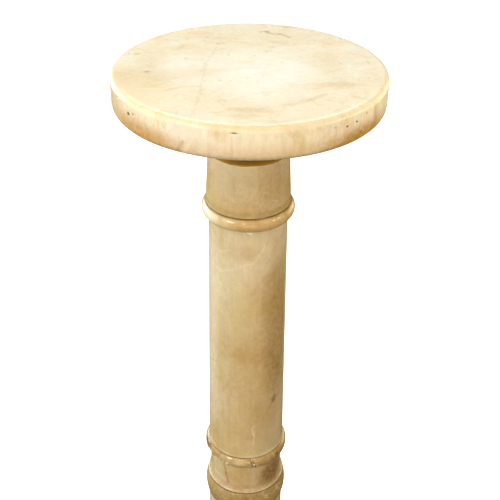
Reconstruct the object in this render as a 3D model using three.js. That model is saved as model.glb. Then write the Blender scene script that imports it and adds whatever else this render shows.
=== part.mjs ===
// Marble pedestal column. A round top stands on a turned shaft with half-round rings, and a
// hollow foot spreads to a round base. Every piece is turned from solid stone and is bedded
// on the one below. Millimetres, +Z up, origin at the middle of the underside.

import { Group, LatheGeometry, Mesh, MeshStandardMaterial, Vector2 } from 'three';

// Bed joint between each piece and the next
const BED_JOINT = 0.3;

// Round top
const TOP_RADIUS = 150;
const TOP_THICKNESS = 38;
const TOP_UPPER_ROUND = 5;
const TOP_LOWER_ROUND = 8;

// Shaft, the long piece that the other radii follow
const SHAFT_HEIGHT = 359;
const SHAFT_HEAD_RADIUS = 47;
const SHAFT_SPREAD = 3.9;
const SHAFT_FLARE = 1.1;
const SHAFT_FLARE_HEIGHT = 8;

// Neck above the shaft
const NECK_HEIGHT = 66;
const NECK_SPREAD = 1.9;
const NECK_FLARE = 1.5;
const NECK_FLARE_HEIGHT = 10;
const NECK_HEAD_ROUND = 1.2;

// Capital between the neck and the top. It stands back from the neck's edge
const CAPITAL_HEIGHT = 55.7;
const CAPITAL_SETBACK = 11;
const CAPITAL_FOOT_HEIGHT = 5;
const CAPITAL_REACH = 42;
const CAPITAL_LIP_HEIGHT = 12;
const CAPITAL_LIP_STEP = 4;

// Half-round rings
const UPPER_RING_HEIGHT = 17;
const UPPER_RING_PROJECTION = 8.2;
const MIDDLE_RING_HEIGHT = 19;
const MIDDLE_RING_PROJECTION = 4.1;
const FOOT_RING_HEIGHT = 19;
const FOOT_RING_PROJECTION = 5;

// Collar under the middle ring
const COLLAR_HEIGHT = 48;
const COLLAR_INSET = 1.6;
const COLLAR_FLARE = 4.15;
const COLLAR_FLARE_HEIGHT = 14.5;

// Bead under the collar, a taller and flatter bulge than the rings
const BEAD_HEIGHT = 36;
const BEAD_BULGE = 2.9;

// Lower drum
const DRUM_HEIGHT = 185;
const DRUM_INSET = 1.2;
const DRUM_SPREAD = 2.2;
const DRUM_FLARE = 1.1;
const DRUM_FLARE_HEIGHT = 8;

// Hollow foot
const FOOT_HEIGHT = 109;
const FOOT_HEAD_HEIGHT = 7;
const FOOT_REACH = 46;
const FOOT_RIM_HEIGHT = 14;
const FOOT_RIM_STEP = 4;

// Round base
const BASE_THICKNESS = 45;
const BASE_LEDGE = 24;
const BASE_UPPER_ROUND = 8;
const BASE_LOWER_ROUND = 4;

// Radii of neighbours that meet at a bed
const neckFootRadius = SHAFT_HEAD_RADIUS + NECK_SPREAD;
const shaftFootRadius = SHAFT_HEAD_RADIUS + SHAFT_SPREAD;
const collarRadius = shaftFootRadius - COLLAR_INSET;
const beadEndRadius = collarRadius + COLLAR_FLARE;
const drumHeadRadius = beadEndRadius - DRUM_INSET;
const drumFootRadius = drumHeadRadius + DRUM_SPREAD;
const capitalFootRadius = SHAFT_HEAD_RADIUS - CAPITAL_SETBACK;
const footRingRadius = drumFootRadius + DRUM_FLARE + FOOT_RING_PROJECTION;
const footHeadRadius = drumFootRadius + DRUM_FLARE;
const footRimRadius = footHeadRadius + FOOT_REACH + FOOT_RIM_STEP;
const baseRadius = footRimRadius + BASE_LEDGE;

// Facets: steps along a curved moulding, and sides round a slender or a broad piece
const ROUND_STEPS = 4;
const RING_STEPS = 8;
const HOLLOW_STEPS = 8;
const SLENDER_SIDES = 40;
const BROAD_SIDES = 64;

const QUARTER = Math.PI / 2;

// Points of an elliptical arc round a centre, angles from the outward direction upwards
function arc(radius, height, radial, vertical, from, to, steps) {
  const points = [];
  for (let i = 0; i <= steps; i += 1) {
    const angle = from + ((to - from) * i) / steps;
    const r = radius + radial * Math.cos(angle);
    const z = height + vertical * Math.sin(angle);
    points.push(new Vector2(r, z));
  }
  return points;
}

// Rounded lower and upper edges of a plain disc
function slabOutline(radius, thickness, lowerRound, upperRound) {
  return [
    ...arc(radius - lowerRound, lowerRound, lowerRound, lowerRound, -QUARTER, 0, ROUND_STEPS),
    ...arc(
      radius - upperRound, thickness - upperRound, upperRound, upperRound, 0, QUARTER, ROUND_STEPS,
    ),
  ];
}

// Drum that leans in from its foot to its head, with a small flare where it meets its bed
function drumOutline(headRadius, footRadius, height, flare, flareHeight) {
  return [
    ...arc(footRadius + flare, flareHeight, flare, flareHeight, 3 * QUARTER, 2 * QUARTER, ROUND_STEPS),
    new Vector2(headRadius, height),
  ];
}

// Half-round ring that stands out to the given radius
function ringOutline(radius, height) {
  const half = height / 2;
  return arc(radius - half, half, half, half, -QUARTER, QUARTER, RING_STEPS);
}

// Bulge of one flat arc between two equal end radii
function beadOutline(endRadius, bulge, height) {
  const half = height / 2;
  const radius = (half * half + bulge * bulge) / (2 * bulge);
  const swing = Math.asin(half / radius);
  return arc(endRadius + bulge - radius, half, radius, radius, -swing, swing, RING_STEPS);
}

// Neck, with its head edge rounded off
function neckOutline() {
  const round = NECK_HEAD_ROUND;
  const sides = drumOutline(
    SHAFT_HEAD_RADIUS, neckFootRadius, NECK_HEIGHT - round, NECK_FLARE, NECK_FLARE_HEIGHT,
  );
  const head = arc(
    SHAFT_HEAD_RADIUS - round, NECK_HEIGHT - round, round, round, 0, QUARTER, ROUND_STEPS,
  );
  return [...sides, ...head.slice(1)];
}

// Capital: a short upright foot, a hollow that spreads upwards and a plain lip
function capitalOutline() {
  const hollowTop = CAPITAL_HEIGHT - CAPITAL_LIP_HEIGHT;
  const spreadRadius = capitalFootRadius + CAPITAL_REACH;
  const rise = hollowTop - CAPITAL_FOOT_HEIGHT;
  return [
    new Vector2(capitalFootRadius, 0),
    ...arc(
      spreadRadius, CAPITAL_FOOT_HEIGHT, CAPITAL_REACH, rise, 2 * QUARTER, QUARTER, HOLLOW_STEPS,
    ),
    new Vector2(spreadRadius + CAPITAL_LIP_STEP, hollowTop),
    new Vector2(spreadRadius + CAPITAL_LIP_STEP, CAPITAL_HEIGHT),
  ];
}

// Foot: a plain rim, a hollow that narrows upwards and a short upright head
function footOutline() {
  const spreadRadius = footHeadRadius + FOOT_REACH;
  const hollowTop = FOOT_HEIGHT - FOOT_HEAD_HEIGHT;
  const rise = hollowTop - FOOT_RIM_HEIGHT;
  return [
    new Vector2(footRimRadius, 0),
    new Vector2(footRimRadius, FOOT_RIM_HEIGHT),
    ...arc(spreadRadius, hollowTop, FOOT_REACH, rise, 3 * QUARTER, 2 * QUARTER, HOLLOW_STEPS),
    new Vector2(footHeadRadius, FOOT_HEIGHT),
  ];
}

// Polished stone, paler on the broad top than on the honey-coloured shaft
const creamStone = { color: 0xf0e0bc, roughness: 0.3, metalness: 0 };
const honeyStone = { color: 0xcfae7c, roughness: 0.25, metalness: 0 };
const amberStone = { color: 0xc4975c, roughness: 0.25, metalness: 0 };

// One turned piece: its outline closed to the axis at both ends and turned about it
function turnedPiece({ name, outline, sides, stone }) {
  const first = outline[0];
  const last = outline[outline.length - 1];
  const profile = [new Vector2(0, first.y), ...outline, new Vector2(0, last.y)];
  const geometry = new LatheGeometry(profile, sides);
  geometry.rotateX(QUARTER);
  const mesh = new Mesh(geometry, new MeshStandardMaterial(stone));
  mesh.name = name;
  return mesh;
}

// The pieces from the floor up
const pieces = [
  {
    name: 'base_slab',
    height: BASE_THICKNESS,
    outline: slabOutline(baseRadius, BASE_THICKNESS, BASE_LOWER_ROUND, BASE_UPPER_ROUND),
    sides: BROAD_SIDES,
    stone: creamStone,
  },
  {
    name: 'foot',
    height: FOOT_HEIGHT,
    outline: footOutline(),
    sides: SLENDER_SIDES,
    stone: honeyStone,
  },
  {
    name: 'foot_ring',
    height: FOOT_RING_HEIGHT,
    outline: ringOutline(footRingRadius, FOOT_RING_HEIGHT),
    sides: SLENDER_SIDES,
    stone: amberStone,
  },
  {
    name: 'drum',
    height: DRUM_HEIGHT,
    outline: drumOutline(
      drumHeadRadius, drumFootRadius, DRUM_HEIGHT, DRUM_FLARE, DRUM_FLARE_HEIGHT,
    ),
    sides: SLENDER_SIDES,
    stone: honeyStone,
  },
  {
    name: 'bead',
    height: BEAD_HEIGHT,
    outline: beadOutline(beadEndRadius, BEAD_BULGE, BEAD_HEIGHT),
    sides: SLENDER_SIDES,
    stone: amberStone,
  },
  {
    name: 'collar',
    height: COLLAR_HEIGHT,
    outline: drumOutline(
      collarRadius, collarRadius, COLLAR_HEIGHT, COLLAR_FLARE, COLLAR_FLARE_HEIGHT,
    ),
    sides: SLENDER_SIDES,
    stone: honeyStone,
  },
  {
    name: 'middle_ring',
    height: MIDDLE_RING_HEIGHT,
    outline: ringOutline(
      shaftFootRadius + SHAFT_FLARE + MIDDLE_RING_PROJECTION, MIDDLE_RING_HEIGHT,
    ),
    sides: SLENDER_SIDES,
    stone: amberStone,
  },
  {
    name: 'shaft',
    height: SHAFT_HEIGHT,
    outline: drumOutline(
      SHAFT_HEAD_RADIUS, shaftFootRadius, SHAFT_HEIGHT, SHAFT_FLARE, SHAFT_FLARE_HEIGHT,
    ),
    sides: SLENDER_SIDES,
    stone: honeyStone,
  },
  {
    name: 'upper_ring',
    height: UPPER_RING_HEIGHT,
    outline: ringOutline(SHAFT_HEAD_RADIUS + UPPER_RING_PROJECTION, UPPER_RING_HEIGHT),
    sides: SLENDER_SIDES,
    stone: amberStone,
  },
  {
    name: 'neck',
    height: NECK_HEIGHT,
    outline: neckOutline(),
    sides: SLENDER_SIDES,
    stone: honeyStone,
  },
  {
    name: 'capital',
    height: CAPITAL_HEIGHT,
    outline: capitalOutline(),
    sides: SLENDER_SIDES,
    stone: honeyStone,
  },
  {
    name: 'top_slab',
    height: TOP_THICKNESS,
    outline: slabOutline(TOP_RADIUS, TOP_THICKNESS, TOP_LOWER_ROUND, TOP_UPPER_ROUND),
    sides: BROAD_SIDES,
    stone: creamStone,
  },
];

// Each piece stands one bed joint above the piece below
const pedestal = new Group();
let bed = 0;
for (const piece of pieces) {
  const mesh = turnedPiece(piece);
  mesh.position.z = bed;
  pedestal.add(mesh);
  bed += piece.height + BED_JOINT;
}

export default pedestal;
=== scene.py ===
import math

import bmesh
import bpy
from mathutils import Matrix, Vector, noise


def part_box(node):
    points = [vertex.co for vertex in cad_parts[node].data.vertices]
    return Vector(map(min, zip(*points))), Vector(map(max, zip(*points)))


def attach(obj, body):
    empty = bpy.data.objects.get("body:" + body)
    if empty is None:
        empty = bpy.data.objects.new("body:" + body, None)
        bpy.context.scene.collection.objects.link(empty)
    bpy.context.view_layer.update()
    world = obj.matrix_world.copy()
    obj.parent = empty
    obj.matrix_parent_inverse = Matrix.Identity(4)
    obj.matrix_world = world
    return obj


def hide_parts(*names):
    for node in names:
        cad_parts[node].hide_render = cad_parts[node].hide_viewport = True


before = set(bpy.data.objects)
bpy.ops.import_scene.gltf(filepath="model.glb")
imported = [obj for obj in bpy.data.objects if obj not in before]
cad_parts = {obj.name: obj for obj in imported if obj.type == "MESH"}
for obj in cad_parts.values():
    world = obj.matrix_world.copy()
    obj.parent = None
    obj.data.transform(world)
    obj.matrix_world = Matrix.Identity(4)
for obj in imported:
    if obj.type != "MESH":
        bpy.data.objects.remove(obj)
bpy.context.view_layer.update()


# Camera
# Above the top and in front of it, looking down along the shaft, rolled a little as a camera
# held by hand. Its place and turn come from the edges of the top and the rings.

CAMERA_DISTANCE = 0.9079
CAMERA_ABOVE_TOP = 0.3547
CAMERA_PITCH = 0.575
CAMERA_TURN = 0.003
CAMERA_ROLL = 0.012
CAMERA_LENS = 63.9
SENSOR_WIDTH = 36.0

top_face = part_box("top_slab")[1].z
camera = bpy.data.objects.new("camera", bpy.data.cameras.new("camera"))
bpy.context.collection.objects.link(camera)
camera.data.lens = CAMERA_LENS
camera.data.sensor_width = SENSOR_WIDTH
ahead = Vector((
    math.sin(CAMERA_TURN) * math.cos(CAMERA_PITCH),
    math.cos(CAMERA_TURN) * math.cos(CAMERA_PITCH),
    -math.sin(CAMERA_PITCH),
))
level = Vector((math.cos(CAMERA_TURN), -math.sin(CAMERA_TURN), 0.0))
raised = level.cross(ahead)
right = math.cos(CAMERA_ROLL) * level + math.sin(CAMERA_ROLL) * raised
upward = math.cos(CAMERA_ROLL) * raised - math.sin(CAMERA_ROLL) * level
turned = Matrix((right, upward, -ahead)).transposed().to_4x4()
place = Vector((0.0, -CAMERA_DISTANCE, top_face + CAMERA_ABOVE_TOP))
camera.matrix_world = Matrix.Translation(place) @ turned
bpy.context.scene.camera = camera


# Round base
# A thick disc of cream marble, turned with a well rounded upper edge. It lies on the floor
# and carries the foot.

FULL_TURN = 2 * math.pi
QUARTER = math.pi / 2
# Where an outline starts and ends. The flat faces inside it are filled afterwards
CORE = 0.012
SAME_PLACE = 0.000001
SHARP = math.radians(40)


def arc(radius, height, across, high, start, end, steps):
    """Points of an elliptical arc, angles from the outward direction upwards."""
    points = []
    for i in range(steps + 1):
        angle = start + (end - start) * i / steps
        points.append((radius + across * math.cos(angle), height + high * math.sin(angle)))
    return points


def join(gap, *stretches):
    """One outline from stretches of points, with rows no further apart than the gap."""
    outline = [stretches[0][0]]
    for point in [p for stretch in stretches for p in stretch][1:]:
        last = outline[-1]
        length = math.dist(last, point)
        steps = max(1, math.ceil(length / gap))
        for i in range(1, steps + 1):
            share = i / steps
            outline.append(tuple(a + (b - a) * share for a, b in zip(last, point)))
    kept = [p for p, q in zip(outline, outline[1:]) if math.dist(p, q) > SAME_PLACE]
    return kept + [outline[-1]]


def turn(name, outline, sides):
    """A closed turned piece: its outline drawn point by point, spun round and capped."""
    bpy.ops.object.select_all(action="DESELECT")
    radius, height = outline[0]
    bpy.ops.mesh.primitive_plane_add(size=CORE, location=(radius, 0, height))
    piece = bpy.context.object
    piece.name = name
    bpy.ops.object.mode_set(mode="EDIT")
    bpy.ops.mesh.select_mode(type="VERT")
    bpy.ops.mesh.select_all(action="SELECT")
    bpy.ops.mesh.merge(type="CENTER")
    for next_radius, next_height in outline[1:]:
        step = (next_radius - radius, 0, next_height - height)
        bpy.ops.mesh.extrude_region_move(TRANSFORM_OT_translate={"value": step})
        radius, height = next_radius, next_height
    bpy.ops.mesh.select_all(action="SELECT")
    bpy.ops.mesh.spin(steps=sides, angle=FULL_TURN, center=(0, 0, 0), axis=(0, 0, 1))
    bpy.ops.mesh.select_all(action="SELECT")
    bpy.ops.mesh.remove_doubles(threshold=SAME_PLACE)
    bpy.ops.mesh.fill_holes(sides=0)
    bpy.ops.mesh.select_all(action="SELECT")
    bpy.ops.mesh.normals_make_consistent(inside=False)
    bpy.ops.object.mode_set(mode="OBJECT")
    bpy.ops.object.transform_apply(location=True, rotation=True, scale=True)
    return piece


def polish(piece):
    """Shades a piece smooth, keeping its sharp edges."""
    bpy.ops.object.select_all(action="DESELECT")
    bpy.context.view_layer.objects.active = piece
    piece.select_set(True)
    bpy.ops.object.shade_smooth_by_angle(angle=SHARP)


def linear(code):
    """Linear colour of a six-digit screen colour."""
    parts = [int(code[i:i + 2], 16) / 255 for i in (0, 2, 4)]
    return tuple(c / 12.92 if c < 0.04045 else ((c + 0.055) / 1.055) ** 2.4 for c in parts) + (1.0,)


def put(tree, kind, settings=None, **inputs):
    """A new node with its settings, its inputs set or linked by name (spaces as underscores)."""
    node = tree.nodes.new(kind)
    for key, value in (settings or {}).items():
        setattr(node, key, value)
    for key, value in inputs.items():
        socket = node.inputs[key.replace("_", " ")]
        if isinstance(value, bpy.types.NodeSocket):
            tree.links.new(value, socket)
        else:
            socket.default_value = value
    return node


def sums(tree, operation, first, second=0.0, third=0.0, clamp=False):
    """One step of arithmetic on sockets or numbers."""
    node = tree.nodes.new("ShaderNodeMath")
    node.operation = operation
    node.use_clamp = clamp
    for socket, value in zip(node.inputs, (first, second, third)):
        if isinstance(value, bpy.types.NodeSocket):
            tree.links.new(value, socket)
        else:
            socket.default_value = value
    return node.outputs[0]


def swing(tree, value, width):
    """A share of 0 to 1 made a factor round 1, as wide as the swing."""
    return sums(tree, "MULTIPLY_ADD", value, width, 1 - width / 2)


def between(tree, value, low, high):
    """0 below low, 1 above high and a smooth rise between them."""
    node = put(tree, "ShaderNodeMapRange", {"interpolation_type": "SMOOTHSTEP"}, Value=value)
    node.inputs["From Min"].default_value = low
    node.inputs["From Max"].default_value = high
    return node.outputs["Result"]


def blend(tree, factor, first, second, kind="MIX"):
    """Mixes two colours."""
    node = tree.nodes.new("ShaderNodeMix")
    node.data_type = "RGBA"
    node.blend_type = kind
    for index, value in ((0, factor), (6, first), (7, second)):
        if isinstance(value, bpy.types.NodeSocket):
            tree.links.new(value, node.inputs[index])
        else:
            node.inputs[index].default_value = value
    return node.outputs[2]


def group(name, inputs, outputs):
    """An empty shader group with named sockets, and its input and output nodes."""
    tree = bpy.data.node_groups.new(name, "ShaderNodeTree")
    for label, kind in inputs:
        tree.interface.new_socket(name=label, in_out="INPUT", socket_type=kind)
    for label, kind in outputs:
        tree.interface.new_socket(name=label, in_out="OUTPUT", socket_type=kind)
    return tree, tree.nodes.new("NodeGroupInput").outputs, tree.nodes.new("NodeGroupOutput")


NUMBER = "NodeSocketFloat"
COLOUR = "NodeSocketColor"
VECTOR = "NodeSocketVector"


def make_clouds():
    """Clouded onyx marble: broad clouds of two tones, deeper drifts, wavering threads, mottling,
    fine grain and faint upright streaks. Stretch draws the clouds out along the bedding."""
    tree, given, result = group(
        "clouded stone",
        [("Place", VECTOR), ("Stretch", VECTOR), ("Pale", COLOUR), ("Body", COLOUR),
         ("Deep", COLOUR), ("Size", NUMBER), ("Depth", NUMBER)],
        [("Colour", COLOUR), ("Relief", NUMBER)],
    )
    drawn = put(tree, "ShaderNodeVectorMath", {"operation": "MULTIPLY"})
    tree.links.new(given["Place"], drawn.inputs[0])
    tree.links.new(given["Stretch"], drawn.inputs[1])
    place = drawn.outputs[0]

    def field(seed, scale, detail, rough, warp):
        size = sums(tree, "MULTIPLY", given["Size"], scale)
        return put(
            tree, "ShaderNodeTexNoise", {"noise_dimensions": "4D"}, Vector=place, W=seed,
            Scale=size, Detail=detail, Roughness=rough, Distortion=warp,
        ).outputs["Fac"]

    broad = field(seed=0.0, scale=1.0, detail=4.0, rough=0.55, warp=0.9)
    colour = blend(tree, between(tree, broad, *BROAD_EDGE), given["Pale"], given["Body"])
    drift = field(seed=3.7, scale=2.3, detail=6.0, rough=0.62, warp=1.6)
    drift_share = sums(tree, "MULTIPLY", between(tree, drift, *DRIFT_EDGE), given["Depth"])
    colour = blend(tree, drift_share, colour, given["Deep"])
    hue = field(seed=9.1, scale=3.0, detail=3.0, rough=0.5, warp=0.4)
    tint = blend(tree, between(tree, hue, *HUE_EDGE), PINKISH, OLIVE)
    colour = blend(tree, 1.0, colour, tint, "MULTIPLY")
    for seed, scale, width, strength, tone in THREADS:
        thread = field(seed=seed, scale=scale, detail=5.0, rough=0.6, warp=1.8)
        line = sums(tree, "ABSOLUTE", sums(tree, "SUBTRACT", thread, 0.5))
        share = sums(tree, "SUBTRACT", 1.0, sums(tree, "DIVIDE", line, width), clamp=True)
        gaps = field(seed=seed + GAP_SEED, scale=1.7, detail=2.0, rough=0.5, warp=0.0)
        patchy = sums(tree, "MULTIPLY", share, between(tree, gaps, *GAP_EDGE))
        colour = blend(tree, sums(tree, "MULTIPLY", patchy, strength), colour, tone)
    mottle = field(seed=5.3, scale=11.0, detail=5.0, rough=0.7, warp=0.6)
    grain = put(
        tree, "ShaderNodeTexNoise", Vector=given["Place"], Scale=GRAIN, Detail=2.0, Roughness=0.6,
    ).outputs["Fac"]
    shade = swing(tree, mottle, MOTTLE_SWING)
    shade = sums(tree, "MULTIPLY", shade, swing(tree, grain, GRAIN_SWING))
    tall = put(tree, "ShaderNodeVectorMath", {"operation": "MULTIPLY"})
    tree.links.new(given["Place"], tall.inputs[0])
    tall.inputs[1].default_value = UPRIGHT
    streaks = put(
        tree, "ShaderNodeTexNoise", Vector=tall.outputs[0], Scale=STREAKS, Detail=3.0,
        Roughness=0.7,
    ).outputs["Fac"]
    shade = sums(tree, "MULTIPLY", shade, swing(tree, streaks, STREAK_SWING))
    grey = put(tree, "ShaderNodeCombineColor", Red=shade, Green=shade, Blue=shade).outputs[0]
    colour = blend(tree, 1.0, colour, grey, "MULTIPLY")
    tree.links.new(colour, result.inputs["Colour"])
    height = sums(tree, "MULTIPLY_ADD", broad, BROAD_RELIEF, mottle)
    tree.links.new(height, result.inputs["Relief"])
    return tree


def make_unrolled():
    """Lays the side of a turned piece out flat: distance round it from the front, and height.
    Waver is how far the edges of its marks stray."""
    tree, given, result = group(
        "unrolled side", [("Place", VECTOR), ("Radius", NUMBER), ("Waver", NUMBER)],
        [("Spot", VECTOR)],
    )
    axes = put(tree, "ShaderNodeSeparateXYZ", Vector=given["Place"]).outputs
    back = sums(tree, "MULTIPLY", axes["Y"], -1.0)
    angle = sums(tree, "ARCTAN2", axes["X"], back)
    across = sums(tree, "MULTIPLY", angle, given["Radius"])
    flat = put(tree, "ShaderNodeCombineXYZ", X=across, Y=axes["Z"]).outputs[0]
    strayed = use(tree, wavering, Place=given["Place"], Spot=flat, Waver=given["Waver"])["Spot"]
    tree.links.new(strayed, result.inputs["Spot"])
    return tree


def make_wavering():
    """Strays a flat place a little, so that a mark drawn there gets a natural edge."""
    tree, given, result = group(
        "wavering", [("Place", VECTOR), ("Spot", VECTOR), ("Waver", NUMBER)], [("Spot", VECTOR)]
    )
    stray = put(
        tree, "ShaderNodeTexNoise", Vector=given["Place"], Scale=WAVER_SIZE, Detail=5.0,
        Roughness=0.65, Distortion=0.6,
    ).outputs["Color"]
    centred = put(tree, "ShaderNodeVectorMath", {"operation": "SUBTRACT"})
    tree.links.new(stray, centred.inputs[0])
    centred.inputs[1].default_value = NOISE_MIDDLE
    scaled = put(tree, "ShaderNodeVectorMath", {"operation": "SCALE"}, Scale=given["Waver"])
    tree.links.new(centred.outputs[0], scaled.inputs[0])
    moved = put(tree, "ShaderNodeVectorMath", {"operation": "MULTIPLY_ADD"})
    tree.links.new(scaled.outputs[0], moved.inputs[0])
    moved.inputs[1].default_value = LEVEL
    tree.links.new(given["Spot"], moved.inputs[2])
    tree.links.new(moved.outputs[0], result.inputs["Spot"])
    return tree


def make_cloud_mark():
    """One cloud or stain: full at its centre and gone at its reach."""
    tree, given, result = group(
        "cloud mark", [("Spot", VECTOR), ("Centre", VECTOR), ("Reach", VECTOR)], [("Share", NUMBER)]
    )
    away = put(tree, "ShaderNodeVectorMath", {"operation": "SUBTRACT"})
    tree.links.new(given["Spot"], away.inputs[0])
    tree.links.new(given["Centre"], away.inputs[1])
    scaled = put(tree, "ShaderNodeVectorMath", {"operation": "DIVIDE"})
    tree.links.new(away.outputs[0], scaled.inputs[0])
    tree.links.new(given["Reach"], scaled.inputs[1])
    length = put(tree, "ShaderNodeVectorMath", {"operation": "LENGTH"})
    tree.links.new(scaled.outputs[0], length.inputs[0])
    fall = put(
        tree, "ShaderNodeMapRange", {"interpolation_type": "SMOOTHSTEP"},
        Value=length.outputs["Value"], From_Min=CLOUD_FULL, From_Max=1.0, To_Min=1.0, To_Max=0.0,
    ).outputs["Result"]
    tree.links.new(fall, result.inputs["Share"])
    return tree


def make_vein_mark():
    """One stretch of a vein or seam between two places, as wide as its width to each side."""
    tree, given, result = group(
        "vein mark",
        [("Spot", VECTOR), ("Start", VECTOR), ("End", VECTOR), ("Width", NUMBER)],
        [("Share", NUMBER)],
    )

    def vector(operation, first, second):
        node = put(tree, "ShaderNodeVectorMath", {"operation": operation})
        tree.links.new(first, node.inputs[0])
        tree.links.new(second, node.inputs[1])
        return node.outputs["Value" if operation in ("DOT_PRODUCT", "DISTANCE") else "Vector"]

    along = vector("SUBTRACT", given["End"], given["Start"])
    away = vector("SUBTRACT", given["Spot"], given["Start"])
    share = sums(
        tree, "DIVIDE", vector("DOT_PRODUCT", away, along), vector("DOT_PRODUCT", along, along),
        clamp=True,
    )
    foot = put(tree, "ShaderNodeVectorMath", {"operation": "SCALE"}, Scale=share)
    tree.links.new(along, foot.inputs[0])
    distance = vector("DISTANCE", away, foot.outputs["Vector"])
    line = sums(tree, "SUBTRACT", 1.0, sums(tree, "DIVIDE", distance, given["Width"]), clamp=True)
    tree.links.new(line, result.inputs["Share"])
    return tree


def make_bed_dirt():
    """Dirt drawn into the bed joint at one height, fading above and below it."""
    tree, given, result = group(
        "bed dirt", [("Place", VECTOR), ("Height", NUMBER), ("Reach", NUMBER)], [("Share", NUMBER)]
    )
    height = put(tree, "ShaderNodeSeparateXYZ", Vector=given["Place"]).outputs["Z"]
    off = sums(tree, "ABSOLUTE", sums(tree, "SUBTRACT", height, given["Height"]))
    near = sums(tree, "SUBTRACT", 1.0, sums(tree, "DIVIDE", off, given["Reach"]), clamp=True)
    patchy = put(
        tree, "ShaderNodeTexNoise", Vector=given["Place"], Scale=DIRT_PATCHES, Detail=4.0,
    ).outputs["Fac"]
    share = sums(tree, "MULTIPLY", near, between(tree, patchy, *DIRT_EDGE))
    tree.links.new(share, result.inputs["Share"])
    return tree


def use(tree, shared, **inputs):
    """Places a shared group in a material with its own values."""
    node = tree.nodes.new("ShaderNodeGroup")
    node.node_tree = shared
    for key, value in inputs.items():
        if isinstance(value, bpy.types.NodeSocket):
            tree.links.new(value, node.inputs[key])
        else:
            node.inputs[key].default_value = value
    return node.outputs


PINKISH = (1.0, 0.982, 0.955, 1.0)
OLIVE = (0.98, 0.98, 0.9, 1.0)
PALE_THREAD = linear("fff2d6")
DARK_THREAD = linear("a8803f")
DIRT = linear("7a5824")
# Seed, scale, width, strength and tone of the threads, and the seed step of the gaps in them
THREADS = ((2.2, 3.2, 0.018, 0.5, PALE_THREAD), (6.4, 4.1, 0.014, 0.35, DARK_THREAD))
GAP_SEED = 5.0
# Where the noise starts to show a pattern, and where it shows it in full
BROAD_EDGE = (0.34, 0.66)
DRIFT_EDGE = (0.48, 0.74)
HUE_EDGE = (0.36, 0.64)
GAP_EDGE = (0.4, 0.7)
PATCH_EDGE = (0.3, 0.7)
DIRT_EDGE = (0.1, 0.5)
# How finely each noise is drawn
GRAIN = 620.0
STREAKS = 210.0
MARK_PATCHES = 190.0
WAVER_SIZE = 110.0
DIRT_PATCHES = 90.0
WEAR_SIZE = 45.0
# How far each noise swings the stone's brightness, a mark's strength or the polish
MOTTLE_SWING = 0.36
GRAIN_SWING = 0.14
STREAK_SWING = 0.24
PATCH_SWING = 0.5
GLOSS_SWING = 0.16
# Factors that draw a pattern out upwards, and that leave only the level part of a place
UPRIGHT = (1.0, 1.0, 0.05)
LEVEL = (1.0, 1.0, 0.0)
NOISE_MIDDLE = (0.5, 0.5, 0.5)
# The share of a cloud's reach that shows in full
CLOUD_FULL = 0.35
DIRT_STRENGTH = 0.9
BED_DIRT_REACH = 0.0013
BROAD_RELIEF = 0.6
RELIEF_HEIGHT = 0.0006
# Light that enters polished marble and comes out again near by
STONE_IOR = 1.5
GLOW = 0.4
GLOW_SPREAD = (1.0, 0.65, 0.4)
GLOW_SCALE = 0.014

clouds = make_clouds()
wavering = make_wavering()
unrolled = make_unrolled()
cloud_mark = make_cloud_mark()
vein_mark = make_vein_mark()
bed_dirt = make_bed_dirt()


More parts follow.
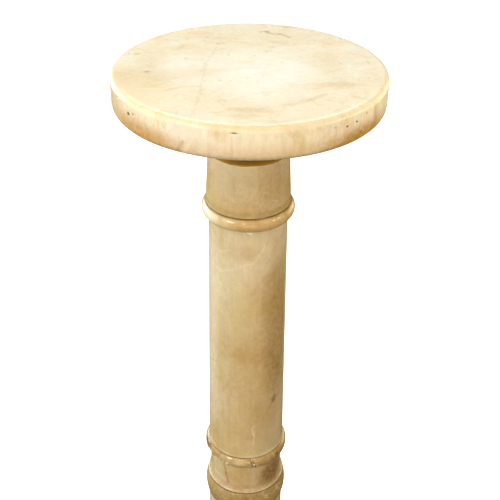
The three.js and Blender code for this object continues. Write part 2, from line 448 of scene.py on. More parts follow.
def marble(name, node, tones, cloud_size, depth, shift, stretch=(1, 1, 1), beds=(), marks=(),
           top_marks=(), waver=0.003, top_waver=0.016, roughness=0.24, relief=0.3,
           edge_shade=None):
    """Polished onyx marble for one piece. Tones are its pale, middle and deep colours, and the
    shift moves its clouds, as another cut of the block. Marks are drawn on the unrolled side,
    top marks on the flat top. Each is (centre, reach, strength, tone) for a cloud, or
    (start, end, width, strength, tone) for a vein. An edge shade is painted shade that darkens
    the rounded upper edge of a flat top: (inner radius, outer radius, depth, strength, tone)."""
    far_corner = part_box(node)[1]
    material = bpy.data.materials.new(name)
    material.use_nodes = True
    tree = material.node_tree
    shader = tree.nodes["Principled BSDF"]
    place = put(tree, "ShaderNodeTexCoord").outputs["Object"]
    moved = put(tree, "ShaderNodeMapping", Vector=place, Location=shift).outputs[0]
    pale, body, deep = tones
    stone = use(
        tree, clouds, Place=moved, Stretch=stretch, Pale=pale, Body=body, Deep=deep,
        Size=cloud_size, Depth=depth,
    )
    colour = stone["Colour"]
    side = use(tree, unrolled, Place=place, Radius=far_corner.x, Waver=waver)["Spot"]
    to_top = (0, 0, -far_corner.z)
    lowered = put(tree, "ShaderNodeMapping", Vector=place, Location=to_top).outputs[0]
    top = use(tree, wavering, Place=place, Spot=lowered, Waver=top_waver)["Spot"]
    patchy = put(
        tree, "ShaderNodeTexNoise", Vector=place, Scale=MARK_PATCHES, Detail=4.0, Roughness=0.7,
    ).outputs["Fac"]
    patchy = swing(tree, between(tree, patchy, *PATCH_EDGE), PATCH_SWING)
    for spot, drawn in ((side, marks), (top, top_marks)):
        for mark in drawn:
            strength, tone = mark[-2:]
            if len(mark) == 4:
                share = use(tree, cloud_mark, Spot=spot, Centre=mark[0], Reach=mark[1])["Share"]
            else:
                start, end, width = mark[:3]
                share = use(tree, vein_mark, Spot=spot, Start=start, End=end, Width=width)["Share"]
            share = sums(tree, "MULTIPLY", share, patchy)
            colour = blend(tree, sums(tree, "MULTIPLY", share, strength, clamp=True), colour, tone)
    # Painted shade on the rounded upper edge of a flat top
    if edge_shade:
        inner, outer, depth_below, strength, tone = edge_shade
        flat = put(tree, "ShaderNodeVectorMath", {"operation": "MULTIPLY"})
        tree.links.new(lowered, flat.inputs[0])
        flat.inputs[1].default_value = LEVEL
        from_axis = put(tree, "ShaderNodeVectorMath", {"operation": "LENGTH"})
        tree.links.new(flat.outputs[0], from_axis.inputs[0])
        below = put(tree, "ShaderNodeSeparateXYZ", Vector=lowered).outputs["Z"]
        share = sums(
            tree, "MULTIPLY", between(tree, from_axis.outputs["Value"], inner, outer),
            between(tree, below, -depth_below, -depth_below / 3),
        )
        colour = blend(tree, sums(tree, "MULTIPLY", share, strength), colour, tone)
    for height in beds:
        dirt = use(tree, bed_dirt, Place=place, Height=height, Reach=BED_DIRT_REACH)
        colour = blend(tree, sums(tree, "MULTIPLY", dirt["Share"], DIRT_STRENGTH), colour, DIRT)
    tree.links.new(colour, shader.inputs["Base Color"])
    wear = put(
        tree, "ShaderNodeTexNoise", Vector=moved, Scale=WEAR_SIZE, Detail=5.0, Roughness=0.6,
    ).outputs["Fac"]
    gloss = sums(tree, "MULTIPLY_ADD", wear, GLOSS_SWING, roughness - GLOSS_SWING / 2)
    tree.links.new(gloss, shader.inputs["Roughness"])
    bump = put(
        tree, "ShaderNodeBump", Height=stone["Relief"], Strength=relief, Distance=RELIEF_HEIGHT,
    )
    tree.links.new(bump.outputs["Normal"], shader.inputs["Normal"])
    shader.inputs["IOR"].default_value = STONE_IOR
    shader.inputs["Subsurface Weight"].default_value = GLOW
    shader.inputs["Subsurface Radius"].default_value = GLOW_SPREAD
    shader.inputs["Subsurface Scale"].default_value = GLOW_SCALE
    return material


def seat(piece, node, material):
    """Gives a finished piece its stone, and stands it for its node."""
    piece.data.materials.clear()
    piece.data.materials.append(material)
    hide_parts(node)
    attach(piece, "root")


CREAM = (linear("faf5ec"), linear("f5ebd6"), linear("e6d1aa"))

BASE_UPPER_ROUND = 0.008
BASE_LOWER_ROUND = 0.004
BASE_GAP = 0.006
BASE_SIDES = 192
EDGE_STEPS = 5


def slab_outline(node, lower_round, upper_round, gap):
    """Outline of a disc with rounded edges, in the box of its node."""
    low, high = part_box(node)
    return join(
        gap,
        [(CORE, low.z)],
        arc(
            high.x - lower_round, low.z + lower_round, lower_round, lower_round,
            -QUARTER, 0, EDGE_STEPS,
        ),
        arc(
            high.x - upper_round, high.z - upper_round, upper_round, upper_round,
            0, QUARTER, EDGE_STEPS,
        ),
        [(CORE, high.z)],
    )


base_outline = slab_outline("base_slab", BASE_LOWER_ROUND, BASE_UPPER_ROUND, BASE_GAP)
base_slab = turn("base_slab_stone", base_outline, BASE_SIDES)
polish(base_slab)
base_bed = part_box("base_slab")[1].z
base_marble = marble(
    "base marble", "base_slab", CREAM, cloud_size=9.0, depth=0.5, shift=(0.4, 0.1, 0.7),
    roughness=0.3,
)
seat(base_slab, "base_slab", base_marble)


# Hollow foot
# One block of honey-coloured marble turned to a deep hollow curve, from a plain rim on the
# base up to the width of the drum. It is bedded on the base.

HONEY = (linear("e5dbc4"), linear("d7c49b"), linear("c29c61"))

FOOT_REACH = 0.046
FOOT_RIM_HEIGHT = 0.014
FOOT_RIM_STEP = 0.004
FOOT_HEAD_HEIGHT = 0.007
FOOT_GAP = 0.004
FOOT_STEPS = 24
SLENDER_SIDES = 144
ARRIS = 0.0006
ARRIS_STEPS = 2


def eased_corner(radius, height, outward, upward):
    """A turned corner with its arris taken off. The signs say which way the two faces look."""
    start = 0 if upward > 0 else -QUARTER
    return arc(
        radius - outward * ARRIS, height - upward * ARRIS, outward * ARRIS, ARRIS,
        start, start + QUARTER, ARRIS_STEPS,
    )


foot_low, foot_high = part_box("foot")
foot_rim = foot_high.x
foot_spread = foot_rim - FOOT_RIM_STEP
foot_head = foot_spread - FOOT_REACH
hollow_top = foot_high.z - FOOT_HEAD_HEIGHT
hollow_rise = hollow_top - foot_low.z - FOOT_RIM_HEIGHT
foot_outline = join(
    FOOT_GAP,
    [(CORE, foot_low.z)],
    eased_corner(foot_rim, foot_low.z, 1, -1),
    eased_corner(foot_rim, foot_low.z + FOOT_RIM_HEIGHT, 1, 1),
    arc(foot_spread, hollow_top, FOOT_REACH, hollow_rise, 3 * QUARTER, 2 * QUARTER, FOOT_STEPS),
    eased_corner(foot_head, foot_high.z, 1, 1),
    [(CORE, foot_high.z)],
)
foot = turn("foot_stone", foot_outline, SLENDER_SIDES)
polish(foot)
foot_marble = marble(
    "foot marble", "foot", HONEY, cloud_size=8.0, depth=0.6, shift=(0.2, 0.9, 0.3),
    beds=(base_bed, foot_high.z),
)
seat(foot, "foot", foot_marble)


# Foot ring
# A half-round ring of amber marble, turned by itself and bedded between the foot and the
# drum.

AMBER = (linear("c6b18b"), linear("b39868"), linear("94723c"))

RING_GAP = 0.01
RING_STEPS = 18
RING_SHARE = 0.76


def ring_outline(node):
    """Half-round ring in the box of its node, a little fuller at its beds than a true round."""
    low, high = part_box(node)
    half = (high.z - low.z) / 2
    swell = half * RING_SHARE
    return join(
        RING_GAP,
        [(CORE, low.z)],
        arc(high.x - swell, low.z + half, swell, half, -QUARTER, QUARTER, RING_STEPS),
        [(CORE, high.z)],
    )


foot_ring = turn("foot_ring_stone", ring_outline("foot_ring"), SLENDER_SIDES)
polish(foot_ring)
foot_ring_low, foot_ring_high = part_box("foot_ring")
foot_ring_marble = marble(
    "foot ring marble", "foot_ring", AMBER, cloud_size=14.0, depth=0.6, shift=(0.7, 0.2, 0.1),
    beds=(foot_ring_low.z, foot_ring_high.z), roughness=0.2,
)
seat(foot_ring, "foot_ring", foot_ring_marble)


# Lower drum
# A plain drum of honey marble, turned a little wider at its foot. It stands on the foot
# ring.

DRUM_FLARE = 0.0011
DRUM_FLARE_HEIGHT = 0.008
DRUM_SPREAD = 0.0022
DRUM_GAP = 0.005
FLARE_STEPS = 6


def drum_outline(node, head, flare, flare_height, gap):
    """A drum that leans in to its head radius above a small flare at its foot."""
    low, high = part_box(node)
    foot_radius = high.x - flare
    return join(
        gap,
        [(CORE, low.z)],
        eased_corner(high.x, low.z, 1, -1),
        arc(
            high.x, low.z + flare_height, flare, flare_height - 2 * ARRIS,
            3 * QUARTER, 2 * QUARTER, FLARE_STEPS,
        ),
        [(foot_radius, low.z + flare_height + ARRIS)],
        eased_corner(head, high.z, 1, 1),
        [(CORE, high.z)],
    )


drum_low, drum_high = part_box("drum")
drum_head = drum_high.x - DRUM_FLARE - DRUM_SPREAD
lower_outline = drum_outline("drum", drum_head, DRUM_FLARE, DRUM_FLARE_HEIGHT, DRUM_GAP)
drum = turn("drum_stone", lower_outline, SLENDER_SIDES)
polish(drum)
drum_marble = marble(
    "drum marble", "drum", HONEY, cloud_size=7.0, depth=0.6, shift=(0.1, 0.4, 0.8),
    beds=(drum_low.z, drum_high.z),
)
seat(drum, "drum", drum_marble)


# Bead
# A moulding of amber marble, taller and flatter than the rings. It is bedded on the drum and
# carries the collar.

BEAD_BULGE = 0.0029
BEAD_STEPS = 20

bead_low, bead_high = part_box("bead")
bead_half = (bead_high.z - bead_low.z) / 2
bead_curve = (bead_half ** 2 + BEAD_BULGE ** 2) / (2 * BEAD_BULGE)
bead_swing = math.asin(bead_half / bead_curve)
bead_outline = join(
    RING_GAP,
    [(CORE, bead_low.z)],
    arc(
        bead_high.x - bead_curve, bead_low.z + bead_half, bead_curve, bead_curve,
        -bead_swing, bead_swing, BEAD_STEPS,
    ),
    [(CORE, bead_high.z)],
)
bead = turn("bead_stone", bead_outline, SLENDER_SIDES)
polish(bead)
bead_marble = marble(
    "bead marble", "bead", AMBER, cloud_size=10.0, depth=0.7, shift=(0.3, 0.3, 0.5),
    beds=(bead_low.z, bead_high.z), roughness=0.2,
)
seat(bead, "bead", bead_marble)


# Collar
# A short drum of honey marble, turned to flare out to the bead that it stands on. A brown
# vein slants down its left.

COLLAR_FLARE = 0.00415
COLLAR_FLARE_HEIGHT = 0.0145
COLLAR_GAP = 0.003
# How deep below the top face a cloud drawn on that face still shows
FACE_DEPTH = 0.006


def at(node, angle, drop):
    """A place on the unrolled side of a piece: degrees from the front, and depth in millimetres
    below the top face."""
    return (math.radians(angle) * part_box(node)[1].x, top_face - drop / 1000, 0.0)


def cloud(centre, across, high, strength, tone):
    """A cloud or stain of a half width and half height in millimetres."""
    return (centre, (across / 1000, high / 1000, FACE_DEPTH), strength, linear(tone))


def vein(points, width, strength, tone):
    """A vein through some places, its half width in millimetres."""
    return [(a, b, width / 1000, strength, linear(tone)) for a, b in zip(points, points[1:])]


collar_low, collar_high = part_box("collar")
collar_radius = collar_high.x - COLLAR_FLARE
collar_outline = drum_outline(
    "collar", collar_radius, COLLAR_FLARE, COLLAR_FLARE_HEIGHT, COLLAR_GAP,
)
collar = turn("collar_stone", collar_outline, SLENDER_SIDES)
polish(collar)
brown_vein = [at("collar", -37, 560), at("collar", -33, 577), at("collar", -29, 592)]
collar_marks_and_shade = [
    cloud(at("collar", 10, 580), 60, 30, 0.35, "b98f52"),
    cloud(at("collar", 0, 600), 400, 12, 0.45, "b48f5c"),
    # Darker on the right: painted shade
    cloud(at("collar", 50, 580), 34, 30, 0.75, "8a6a2c"),
    *vein(brown_vein, 3.0, 0.5, "ad6a2a"),
]
collar_marble = marble(
    "collar marble", "collar", HONEY, cloud_size=11.0, depth=0.8, shift=(0.6, 0.5, 0.2),
    beds=(collar_low.z, collar_high.z), marks=collar_marks_and_shade,
)
seat(collar, "collar", collar_marble)


# Middle ring
# A half-round ring of amber marble under the shaft. Its lower edge has broken away on the
# left, and a crack right of the middle was filled with pale paste.

MIDDLE_SIDES = 288
# The break, between two angles in degrees from the front. Its upper line rises from the low
# to the high share of half the ring's height
CHIP_START = -86.0
CHIP_END = -31.0
CHIP_LOW = 0.75
CHIP_HIGH = 1.0
CHIP_RADIUS = 0.0500
CHIP_DROP = 553
CHIP_AREA = 0.034
CHIP_CUTS = 2
CHIP_WANDER = 0.3
CHIP_END_WANDER = 0.03
CHIP_ROUGHNESS = 0.0008
# The crack, in degrees from the front. It leans with its height
CRACK_ANGLE = 12.5
CRACK_LEAN = 0.3
CRACK_WIDTH = 0.0014
CRACK_DEPTH = 0.0022
CRACK_DROP = 547
CRACK_AREA = 0.012
CRACK_CUTS = 3
CRACK_WANDER = 0.0012
# Small hollows beside the crack, in stone that is already divided finely
CHIPPING_CUTS = 1
# How finely the stone breaks, as the scale of its ragged noise
BREAK_WAVES = 190
BREAK_GRAIN = 350
CRACK_WAVES = 250
PIT_GRAIN = 420
PIT_RAGGED = 0.45
# How far round a hollow the stone is divided finely, and how far it is worked, in half widths
PIT_AREA = 2.0
PIT_LIMIT = 2.5
PIT_MARGIN = 0.002


def refine(piece, centre, reach, cuts):
    """Subdivides the faces of a piece near a place, and leaves it in edit mode."""
    bpy.ops.object.select_all(action="DESELECT")
    bpy.context.view_layer.objects.active = piece
    piece.select_set(True)
    bpy.ops.object.mode_set(mode="EDIT")
    bpy.ops.mesh.select_mode(type="FACE")
    bpy.ops.mesh.select_all(action="DESELECT")
    form = bmesh.from_edit_mesh(piece.data)
    for face in form.faces:
        if (face.calc_center_median() - centre).length < reach:
            face.select_set(True)
    bmesh.update_edit_mesh(piece.data)
    bpy.ops.mesh.subdivide(number_cuts=cuts)
    return bmesh.from_edit_mesh(piece.data)


def on_side(node, angle, drop):
    """A point in space on the side of a piece, by degrees from the front and depth in
    millimetres below the top face."""
    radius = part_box(node)[1].x
    turn_by = math.radians(angle)
    return Vector((
        radius * math.sin(turn_by), -radius * math.cos(turn_by), top_face - drop / 1000,
    ))


def dent(piece, place, across, high, depth, cuts):
    """Breaks a small ragged hollow into the side of a piece. Its half width, half height and
    depth are in millimetres."""
    reach = max(across, high) / 1000
    form = refine(piece, place, PIT_AREA * reach + PIT_MARGIN, cuts)
    outward = Vector((place.x, place.y, 0)).normalized()
    sideways = outward.cross(Vector((0, 0, 1)))
    for vertex in form.verts:
        away = vertex.co - place
        if away.length > PIT_LIMIT * reach:
            continue
        ragged = PIT_RAGGED * noise.noise(vertex.co * PIT_GRAIN)
        share = math.hypot(away.dot(sideways) / (across / 1000), away.z / (high / 1000)) + ragged
        if share < 1:
            vertex.co -= outward * (depth / 1000) * (1 - share ** 2)
    bmesh.update_edit_mesh(piece.data)
    bpy.ops.object.mode_set(mode="OBJECT")


middle_ring = turn("middle_ring_stone", ring_outline("middle_ring"), MIDDLE_SIDES)
middle_low, middle_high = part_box("middle_ring")
middle_half = (middle_high.z - middle_low.z) / 2
chip_middle = on_side("middle_ring", (CHIP_START + CHIP_END) / 2, CHIP_DROP)
form = refine(middle_ring, chip_middle, CHIP_AREA, CHIP_CUTS)
for vertex in form.verts:
    radius = math.hypot(vertex.co.x, vertex.co.y)
    angle = math.degrees(math.atan2(vertex.co.x, -vertex.co.y))
    share = (angle - CHIP_START) / (CHIP_END - CHIP_START)
    wander = noise.noise(vertex.co * BREAK_WAVES)
    rise = CHIP_LOW + (CHIP_HIGH - CHIP_LOW) * share + CHIP_WANDER * wander
    line = middle_low.z + middle_half * rise
    broken = CHIP_RADIUS + CHIP_ROUGHNESS * noise.noise(vertex.co * BREAK_GRAIN)
    within = 0 < share + CHIP_END_WANDER * wander < 1
    if within and vertex.co.z < line and radius > broken:
        vertex.co.x *= broken / radius
        vertex.co.y *= broken / radius
bmesh.update_edit_mesh(middle_ring.data)
bpy.ops.object.mode_set(mode="OBJECT")
crack_middle = on_side("middle_ring", CRACK_ANGLE, CRACK_DROP)
form = refine(middle_ring, crack_middle, CRACK_AREA, CRACK_CUTS)
ring_root = middle_high.x - 2 * middle_half / 3
for vertex in form.verts:
    radius = math.hypot(vertex.co.x, vertex.co.y)
    angle = math.radians(CRACK_ANGLE) + CRACK_LEAN * (middle_low.z - vertex.co.z) / middle_high.x
    across = math.atan2(vertex.co.x, -vertex.co.y) - angle
    off = abs(across * middle_high.x + CRACK_WANDER * noise.noise(vertex.co * CRACK_WAVES))
    if radius > ring_root and off < CRACK_WIDTH:
        cut = 1 - CRACK_DEPTH * (1 - off / CRACK_WIDTH) / radius
        vertex.co.x *= cut
        vertex.co.y *= cut
bmesh.update_edit_mesh(middle_ring.data)
bpy.ops.object.mode_set(mode="OBJECT")
dent(middle_ring, on_side("middle_ring", 15.5, 549), 1.6, 1.4, 1.2, CHIPPING_CUTS)
dent(middle_ring, on_side("middle_ring", 9.5, 552), 1.4, 1.6, 1.0, CHIPPING_CUTS)
polish(middle_ring)
middle_marks_and_shade = [
    cloud(at("middle_ring", -56, 553), 30, 7, 0.9, "e2cba2"),
    cloud(at("middle_ring", -72, 541), 18, 6, 0.7, "77552a"),
    *vein([at("middle_ring", -84, 549.5), at("middle_ring", -60, 548.5)], 1.5, 0.9, "5a3f1c"),
    *vein([at("middle_ring", -60, 548.5), at("middle_ring", -33, 547.5)], 1.3, 0.75, "6b4a22"),
    *vein([at("middle_ring", -31, 547), at("middle_ring", -31, 556)], 1.0, 0.6, "6b4a22"),
    cloud(at("middle_ring", -27.5, 549), 2.6, 3.4, 0.9, "fff6e2"),
    # Darker on the right: painted shade
    cloud(at("middle_ring", 60, 547), 26, 14, 0.4, "8d6a34"),
    cloud(at("middle_ring", -8, 545), 14, 3.0, 0.4, "f3dcc0"),
    *vein([at("middle_ring", 10.5, 541), at("middle_ring", 14.5, 552)], 1.5, 0.7, "3c2810"),
    cloud(at("middle_ring", 12.0, 546), 2.4, 1.8, 0.95, "fff8ea"),
    cloud(at("middle_ring", 16.4, 548), 2.0, 1.5, 0.9, "fff8ea"),
    *vein([at("middle_ring", 39, 539), at("middle_ring", 42, 553)], 0.9, 0.6, "85551f"),
    *vein([at("middle_ring", 43.5, 538), at("middle_ring", 46, 552)], 0.9, 0.5, "f0d6a4"),
    *vein([at("middle_ring", 46, 538), at("middle_ring", 49, 552)], 1.0, 0.6, "a8601c"),
    *vein([at("middle_ring", 52, 538), at("middle_ring", 54, 551)], 0.9, 0.6, "7a4a1a"),
    cloud(at("middle_ring", 50, 543), 2.0, 2.0, 0.7, "7a3818"),
]
middle_marble = marble(
    "middle ring marble", "middle_ring", AMBER, cloud_size=14.0, depth=0.6, shift=(0.5, 0.7, 0.4),
    beds=(middle_low.z, middle_high.z), marks=middle_marks_and_shade, roughness=0.12, relief=0.08,
)
seat(middle_ring, "middle_ring", middle_marble)


# Shaft
# The long shaft of honey marble, turned a little wider at its foot. It has pale wavering
# veins near its head and an amber cloud round its middle.

SHAFT_FLARE = 0.0011
SHAFT_FLARE_HEIGHT = 0.008
SHAFT_SPREAD = 0.0039
SHAFT_GAP = 0.004
SHAFT_SIDES = 192

shaft_low, shaft_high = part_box("shaft")
shaft_head = shaft_high.x - SHAFT_FLARE - SHAFT_SPREAD
shaft_outline = drum_outline("shaft", shaft_head, SHAFT_FLARE, SHAFT_FLARE_HEIGHT, SHAFT_GAP)
shaft = turn("shaft_stone", shaft_outline, SHAFT_SIDES)
polish(shaft)
head_vein = [
    (-66, 233), (-45, 241), (-24, 234), (-9, 227), (7, 222), (17, 213), (24, 201), (29, 190),
]
upper_vein = [(-62, 208), (-44, 214), (-27, 206), (-12, 209)]
shaft_marks_sheen_and_shade = [
    cloud(at("shaft", 5, 420), 80, 140, 0.3, "b89040"),
    # Darker on the right: painted shade
    cloud(at("shaft", 52, 330), 36, 150, 0.5, "a07c34"),
    # Paler on the left: painted sheen where the shaft catches the light
    cloud(at("shaft", -72, 330), 34, 220, 0.48, "f8eedb"),
    # A pale strip at the right edge: painted reflection
    cloud(at("shaft", 84, 330), 14, 220, 0.8, "fff6e8"),
    cloud(at("shaft", 2, 181), 6, 2.4, 0.9, "fffaf0"),
    *vein([at("shaft", *spot) for spot in head_vein], 2.6, 0.28, "fff3d8"),
    *vein([at("shaft", *spot) for spot in upper_vein], 2.0, 0.24, "fff3d8"),
    cloud(at("shaft", -14, 211), 30, 14, 0.14, "c89a45"),
    cloud(at("shaft", 3, 208), 16, 16, 0.22, "bc8c38"),
    cloud(at("shaft", -8, 352), 80, 34, 0.12, "bc903c"),
    cloud(at("shaft", 51, 384), 10, 15, 0.13, "9a6c2f"),
    cloud(at("shaft", 46.5, 443), 7, 9, 0.4, "6c541e"),
    *vein([at("shaft", 36, 455), at("shaft", 44, 446), at("shaft", 60, 437)], 3.0, 0.3, "86682c"),
    *vein([at("shaft", -71, 390), at("shaft", -51, 384)], 1.6, 0.4, "b0a066"),
    *vein([at("shaft", 10, 479), at("shaft", 11, 498)], 1.4, 0.5, "fff3d8"),
    *vein([at("shaft", 13, 490), at("shaft", 12, 513)], 1.2, 0.45, "fff3d8"),
]
shaft_marble = marble(
    "shaft marble", "shaft", HONEY, cloud_size=9.0, depth=0.45, shift=(0.0, 0.0, 0.0),
    stretch=(1, 1, 0.7), beds=(shaft_low.z, shaft_high.z), marks=shaft_marks_sheen_and_shade, waver=0.009,
)
seat(shaft, "shaft", shaft_marble)


# Upper ring
# A half-round ring of amber marble, paler than the other rings. It is bedded between the
# shaft and the neck.

PALE_AMBER = (linear("e6d2ac"), linear("d6bb88"), linear("b88f52"))

upper_ring = turn("upper_ring_stone", ring_outline("upper_ring"), SHAFT_SIDES)
polish(upper_ring)
upper_low, upper_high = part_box("upper_ring")
upper_marks_and_highlight = [
    # Paler on the left: a painted highlight where the ring catches the light
    cloud(at("upper_ring", -62, 168), 30, 14, 0.9, "fff2da"),
    cloud(at("upper_ring", 2, 168), 30, 14, 0.35, "b98f50"),
]
upper_marble = marble(
    "upper ring marble", "upper_ring", PALE_AMBER, cloud_size=12.0, depth=0.5,
    shift=(0.9, 0.3, 0.6),
    beds=(upper_low.z, upper_high.z), marks=upper_marks_and_highlight, roughness=0.12, relief=0.06,
)
seat(upper_ring, "upper_ring", upper_marble)


# Neck
# A short drum of honey marble above the ring. Its flat head shows round the foot of the
# capital, in the shadow of the top.

NECK_FLARE = 0.0006
NECK_FLARE_HEIGHT = 0.010
NECK_SPREAD = 0.0028

neck_low, neck_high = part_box("neck")
neck_head = neck_high.x - NECK_FLARE - NECK_SPREAD
neck_outline = drum_outline("neck", neck_head, NECK_FLARE, NECK_FLARE_HEIGHT, SHAFT_GAP)
neck = turn("neck_stone", neck_outline, SHAFT_SIDES)
polish(neck)
neck_marks_and_shade = [
    # A dark band round the head of the neck: painted shade under the top
    cloud(at("neck", 0, 92.9), 400, 3.0, 1.9, "a07c1a"),
    # A darker band at the foot: painted shade where the neck meets the ring
    cloud(at("neck", 0, 158), 400, 9, 0.5, "b0904e"),
    # The clouds on the left and right darken the neck: painted shade of the top
    cloud(at("neck", -55, 125), 36, 60, 0.35, "c9a566"),
    cloud(at("neck", 60, 125), 40, 60, 0.3, "b08a48"),
    cloud(at("neck", -10, 146), 26, 8, 0.22, "d09a50"),
    # This cloud darkens the middle of the neck: painted shade of the top
    cloud(at("neck", 5, 120), 40, 60, 0.2, "b8924e"),
]
neck_marble = marble(
    "neck marble", "neck", HONEY, cloud_size=8.0, depth=0.4, shift=(0.3, 0.8, 0.9),
    beds=(neck_low.z,), marks=neck_marks_and_shade,
)
seat(neck, "neck", neck_marble)


# Capital
# A block of honey marble hollowed outwards from a narrow foot to a plain lip that carries
# the top.

CAPITAL_REACH = 0.042
CAPITAL_LIP_STEP = 0.004
CAPITAL_LIP_HEIGHT = 0.012
CAPITAL_FOOT_HEIGHT = 0.005
CAPITAL_GAP = 0.004
CAPITAL_STEPS = 20

capital_low, capital_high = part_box("capital")
capital_lip = capital_high.x
capital_spread = capital_lip - CAPITAL_LIP_STEP
capital_foot = capital_spread - CAPITAL_REACH
lip_low = capital_high.z - CAPITAL_LIP_HEIGHT
capital_rise = lip_low - capital_low.z - CAPITAL_FOOT_HEIGHT
capital_outline = join(
    CAPITAL_GAP,
    [(CORE, capital_low.z)],
    eased_corner(capital_foot, capital_low.z, 1, -1),
    arc(
        capital_spread, capital_low.z + CAPITAL_FOOT_HEIGHT, CAPITAL_REACH, capital_rise,
        2 * QUARTER, QUARTER, CAPITAL_STEPS,
    ),
    eased_corner(capital_lip, lip_low, 1, -1),
    eased_corner(capital_lip, capital_high.z, 1, 1),
    [(CORE, capital_high.z)],
)
capital = turn("capital_stone", capital_outline, SLENDER_SIDES)
polish(capital)
# A dark band round the capital's foot: painted shade under the top
capital_foot_shade = cloud(at("capital", 0, 94), 400, 12, 0.9, "a8841e")
capital_marble = marble(
    "capital marble", "capital", HONEY, cloud_size=8.0, depth=0.4, shift=(0.8, 0.6, 0.1),
    marks=[capital_foot_shade],
)
seat(capital, "capital", capital_marble)


# Top
# The round top, one slab of pale cream marble with rounded edges, on the capital. It has
# natural pits in its rim and a brown vein near its back edge.

TOP_UPPER_ROUND = 0.006
TOP_LOWER_ROUND = 0.008
TOP_GAP = 0.003
TOP_SIDES = 320
PIT_CUTS = 5
PIT_BROWN = "3e2e14"
# The natural pits in the rim: degrees from the front, drop below the top face, half width,
# half height and depth in millimetres, and darkness
RIM_PITS = (
    (-54.0, 15.8, 2.4, 3.0, 2.2, 0.95), (-50.6, 12.5, 1.8, 1.9, 1.6, 0.8),
    (-63.5, 6.5, 2.4, 1.6, 1.0, 0.45), (-56.7, 7.3, 1.6, 1.3, 0.9, 0.45),
    (40.1, 14.5, 2.6, 1.6, 1.6, 0.85), (45.1, 13.7, 1.8, 1.6, 1.6, 0.8),
    (51.3, 9.3, 1.4, 1.4, 1.2, 0.7), (34.0, 11.8, 1.4, 1.2, 1.0, 0.5),
    (-5.4, 7.3, 4.6, 1.5, 1.0, 0.5),
)
# Painted shade on the rounded upper edge, which would show brighter than the face: the radius
# where it starts and where it is full, its depth below the face, its strength and its tone
TOP_EDGE_SHADE = (0.1425, 0.1470, 0.0060, 0.2, linear("dfca9c"))

top_outline = slab_outline("top_slab", TOP_LOWER_ROUND, TOP_UPPER_ROUND, TOP_GAP)
top_slab = turn("top_slab_stone", top_outline, TOP_SIDES)
rim_marks_and_shade = [
    # Darker and more amber towards the lower edge of the rim: partly the stone's own amber, partly
    # painted shade under the rim
    cloud(at("top_slab", 0, 43), 1000, 30, 0.45, "cfa769"),
    cloud(at("top_slab", 50, 39), 72, 28, 0.85, "b98f3c"),
    cloud(at("top_slab", -50, 38), 84, 31, 0.75, "cc9e56"),
    cloud(at("top_slab", -75, 20), 60, 40, 0.55, "dcbf8a"),
    *vein([at("top_slab", 58, 8), at("top_slab", 59, 34)], 6.5, 0.35, "a8742c"),
    cloud(at("top_slab", 74, 15), 14, 20, 0.5, "fff6e4"),
    *vein([at("top_slab", -29, 38), at("top_slab", -25, 22)], 3.0, 0.45, "b98248"),
    *vein([at("top_slab", -26, 38), at("top_slab", -22, 22)], 3.0, 0.4, "fff0d8"),
    *vein([at("top_slab", -6.1, 13), at("top_slab", -6.3, 36)], 1.6, 0.2, "c09656"),
    cloud(at("top_slab", 48.1, 26.1), 2.2, 2.4, 0.6, "8a4a26"),
]
for angle, drop, across, high, depth, dark in RIM_PITS:
    dent(top_slab, on_side("top_slab", angle, drop), across, high, depth, PIT_CUTS)
    rim_marks_and_shade.append(cloud(at("top_slab", angle, drop), across, high, dark, PIT_BROWN))
polish(top_slab)


def lying(x, y):
    """A place on the top face, in millimetres from its centre."""
    return (x / 1000, y / 1000, 0.0)


face_marks = [
    cloud(lying(0, 0), 420, 420, 0.2, "e2cfa2"),
    cloud(lying(0, -170), 190, 110, 0.24, "e2cc9c"),
    cloud(lying(-108, -70), 38, 50, 0.30, "f3dcae"),
    cloud(lying(-104, 15), 24, 30, 0.30, "e0ca98"),
    cloud(lying(85, 10), 24, 40, 0.34, "e2cc98"),
    cloud(lying(95, -43), 22, 11, 0.39, "cfb27a"),
    *vein([lying(76, -70), lying(60, -85), lying(40, -97)], 6, 0.34, "cdb27c"),
    cloud(lying(0, -110), 30, 10, 0.39, "c9ab74"),
    cloud(lying(-3, -125), 20, 7, 0.30, "cfb484"),
    cloud(lying(33, 80), 18, 8, 0.34, "dcc890"),
    cloud(lying(-37, 90), 16, 6, 0.34, "d6cd9e"),
    cloud(lying(-20, 92), 13, 7, 0.34, "efcf90"),
    cloud(lying(-105, 85), 18, 11, 0.34, "eccb8c"),
    cloud(lying(-60, 108), 22, 9, 0.30, "eccb8c"),
    cloud(lying(95, 75), 20, 15, 0.30, "eccf96"),
    cloud(lying(-72, 5), 40, 60, 0.30, "fffdf6"),
    cloud(lying(12, -8), 78, 96, 0.56, "fffdf6"),
    cloud(lying(-3, 17), 14, 9, 0.34, "ecdfb2"),
    cloud(lying(0, -9), 15, 10, 0.56, "ffffff"),
    *vein([lying(-38, 60), lying(-48, 10), lying(-50, -70), lying(-57, -150)], 2.4, 0.24, "c9ad74"),
    *vein([lying(12, 115), lying(19, 116), lying(27, 109)], 3.2, 0.56, "94743e"),
    *vein([lying(27, 109), lying(36, 106), lying(48, 97)], 2.2, 0.50, "94743e"),
    cloud(lying(-110, -15), 6, 5, 0.50, "a87c4e"),
    cloud(lying(-70, 25), 4, 4, 0.50, "a3946c"),
]
top_marble = marble(
    "top marble", "top_slab", CREAM, cloud_size=13.0, depth=0.85, shift=(0.2, 0.5, 0.5),
    stretch=(0.8, 1.3, 0.5), marks=rim_marks_and_shade, top_marks=face_marks, roughness=0.3,
    edge_shade=TOP_EDGE_SHADE,
)
seat(top_slab, "top_slab", top_marble)


# Studio
# A white floor that glows, so that the column stands out against it. Windows in front on the
# left give the highlights, pale walls and a skylight light the edges, and warm lamps the rest.

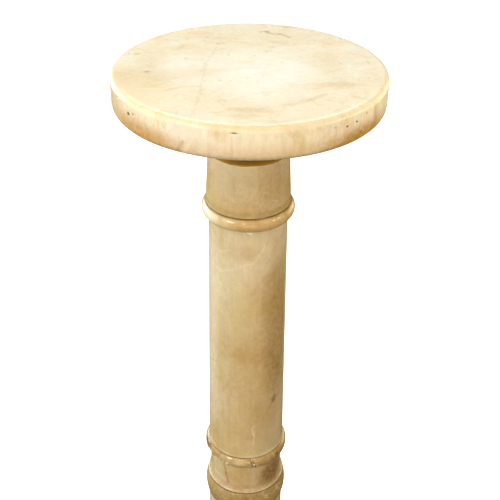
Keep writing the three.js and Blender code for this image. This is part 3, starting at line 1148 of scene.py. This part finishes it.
FLOOR_SIZE = 30.0
FLOOR_ROUGHNESS = 0.8
WHITE = (1.0, 1.0, 1.0, 1.0)
ROOM_AIR = (0.09, 0.07, 0.04, 1.0)

bpy.context.scene.view_settings.view_transform = "Standard"

bpy.ops.object.select_all(action="DESELECT")
bpy.ops.mesh.primitive_plane_add(size=FLOOR_SIZE, location=(0, 0, 0))
floor = bpy.context.object
floor.name = "floor"
floor_paint = bpy.data.materials.new("floor paint")
floor_paint.use_nodes = True
floor_shader = floor_paint.node_tree.nodes["Principled BSDF"]
floor_shader.inputs["Base Color"].default_value = linear("f0f0f0")
floor_shader.inputs["Roughness"].default_value = FLOOR_ROUGHNESS
floor_shader.inputs["Emission Color"].default_value = WHITE
floor_shader.inputs["Emission Strength"].default_value = 1.0
floor.data.materials.append(floor_paint)
floor.visible_diffuse = False
floor.visible_glossy = False


def softbox(name, width, height, power, colour, azimuth, elevation, distance, aim_height):
    """A soft area light that looks at the column's axis. Azimuth is in degrees from the front,
    positive to the right, and elevation in degrees above the height that it looks at."""
    lamp = bpy.data.lights.new(name, "AREA")
    lamp.shape = "RECTANGLE"
    lamp.size = width
    lamp.size_y = height
    lamp.energy = power
    lamp.color = colour
    holder = bpy.data.objects.new(name, lamp)
    bpy.context.collection.objects.link(holder)
    across = math.radians(azimuth)
    up = math.radians(elevation)
    away = Vector((
        math.sin(across) * math.cos(up), -math.cos(across) * math.cos(up), math.sin(up),
    ))
    aim = Vector((0, 0, aim_height))
    holder.location = aim + away * distance
    holder.rotation_euler = away.to_track_quat("Z", "Y").to_euler()


DAYLIGHT = (0.88, 0.96, 1.0)
SUNLIGHT = (1.0, 0.98, 0.9)
LAMPLIGHT = (1.0, 0.74, 0.42)
softbox("left window", 0.8, 0.9, 35, SUNLIGHT, -44, 24, 3.0, 0.83)
softbox("front window", 0.5, 0.3, 9, SUNLIGHT, -12, 28, 3.0, 0.83)
softbox("left wall", 2.0, 2.0, 15, DAYLIGHT, -82, 12, 2.4, 0.6)
softbox("wall behind on the left", 1.6, 1.6, 48, SUNLIGHT, -128, 12, 2.5, 0.6)
softbox("lamp behind on the right", 1.6, 1.6, 24, (1.0, 0.86, 0.64), 125, 8, 2.5, 0.6)
softbox("room in front", 2.6, 2.0, 3, LAMPLIGHT, 5, 15, 3.5, 0.6)
softbox("room above", 2.0, 1.2, 16, LAMPLIGHT, 10, 52, 2.6, 0.9)
softbox("skylight behind", 2.2, 1.2, 45, DAYLIGHT, 180, 45, 2.6, 1.0)
softbox("high window on the left", 1.4, 1.4, 7, DAYLIGHT, -70, 45, 2.4, 0.8)
softbox("high window on the right", 1.2, 1.2, 6, DAYLIGHT, 62, 60, 2.0, 0.98)
softbox("lamp on the right", 2.6, 2.6, 11, LAMPLIGHT, 50, 22, 2.8, 0.9)
softbox("lamp beside the top", 0.25, 0.06, 0.65, (1.0, 0.92, 0.76), 70, 2, 0.52, 0.985)
softbox("low room in front", 2.4, 1.2, 27, (1.0, 0.77, 0.46), 0, -4, 3.2, 0.75)

world = bpy.data.worlds.new("studio air")
world.use_nodes = True
air = world.node_tree
background = air.nodes["Background"]
seen = put(air, "ShaderNodeLightPath").outputs["Is Camera Ray"]
air_colour = blend(air, seen, ROOM_AIR, WHITE)
air.links.new(air_colour, background.inputs["Color"])
background.inputs["Strength"].default_value = 1.0
bpy.context.scene.world = world
